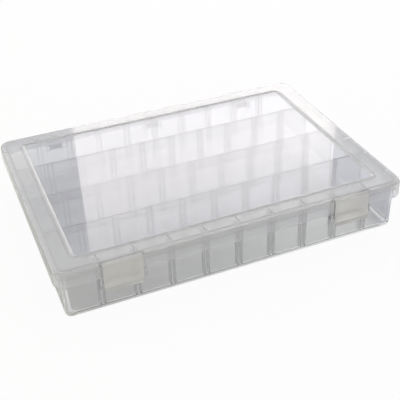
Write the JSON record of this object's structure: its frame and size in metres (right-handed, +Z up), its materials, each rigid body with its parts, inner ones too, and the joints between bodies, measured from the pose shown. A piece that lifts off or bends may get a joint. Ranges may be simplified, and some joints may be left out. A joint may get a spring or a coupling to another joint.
{
  "type": "compartment storage box",
  "caption": "Shallow clear storage box with ribbed rows for small parts, a hinged lid with a stacking ridge and front snap latches.",
  "frame": {"origin": "centre of the closed box on the surface that it rests on", "axes": "+X to the right along the long front, +Y from the latches at the front to the hinges at the back, +Z up"},
  "size_m": [0.36, 0.2712, 0.0564],
  "materials": {
    "tray_plastic": "natural translucent polypropylene, lightly frosted inside",
    "lid_plastic": "natural translucent polypropylene, polished outside",
    "latch_plastic": "translucent polypropylene, slightly yellow where it is thick"
  },
  "bodies": {
    "tray": {"tray": "tray_plastic"},
    "lid": {"lid": "lid_plastic"},
    "latch_left": {"latch_left": "latch_plastic"},
    "latch_right": {"latch_right": "latch_plastic"}
  },
  "joints": [
    {"name": "lid_hinge", "type": "hinge", "parent": "tray", "child": "lid", "pos_m": [0, 0.132, 0.0345], "axis": [-1, 0, 0], "range_deg": [0, 180]},
    {"name": "latch_left_hinge", "type": "hinge", "parent": "lid", "child": "latch_left", "pos_m": [-0.118, -0.1304, 0.0533], "axis": [-1, 0, 0], "range_deg": [0, 95]},
    {"name": "latch_right_hinge", "type": "hinge", "parent": "lid", "child": "latch_right", "pos_m": [0.118, -0.1304, 0.0533], "axis": [-1, 0, 0], "range_deg": [0, 95]}
  ]
}
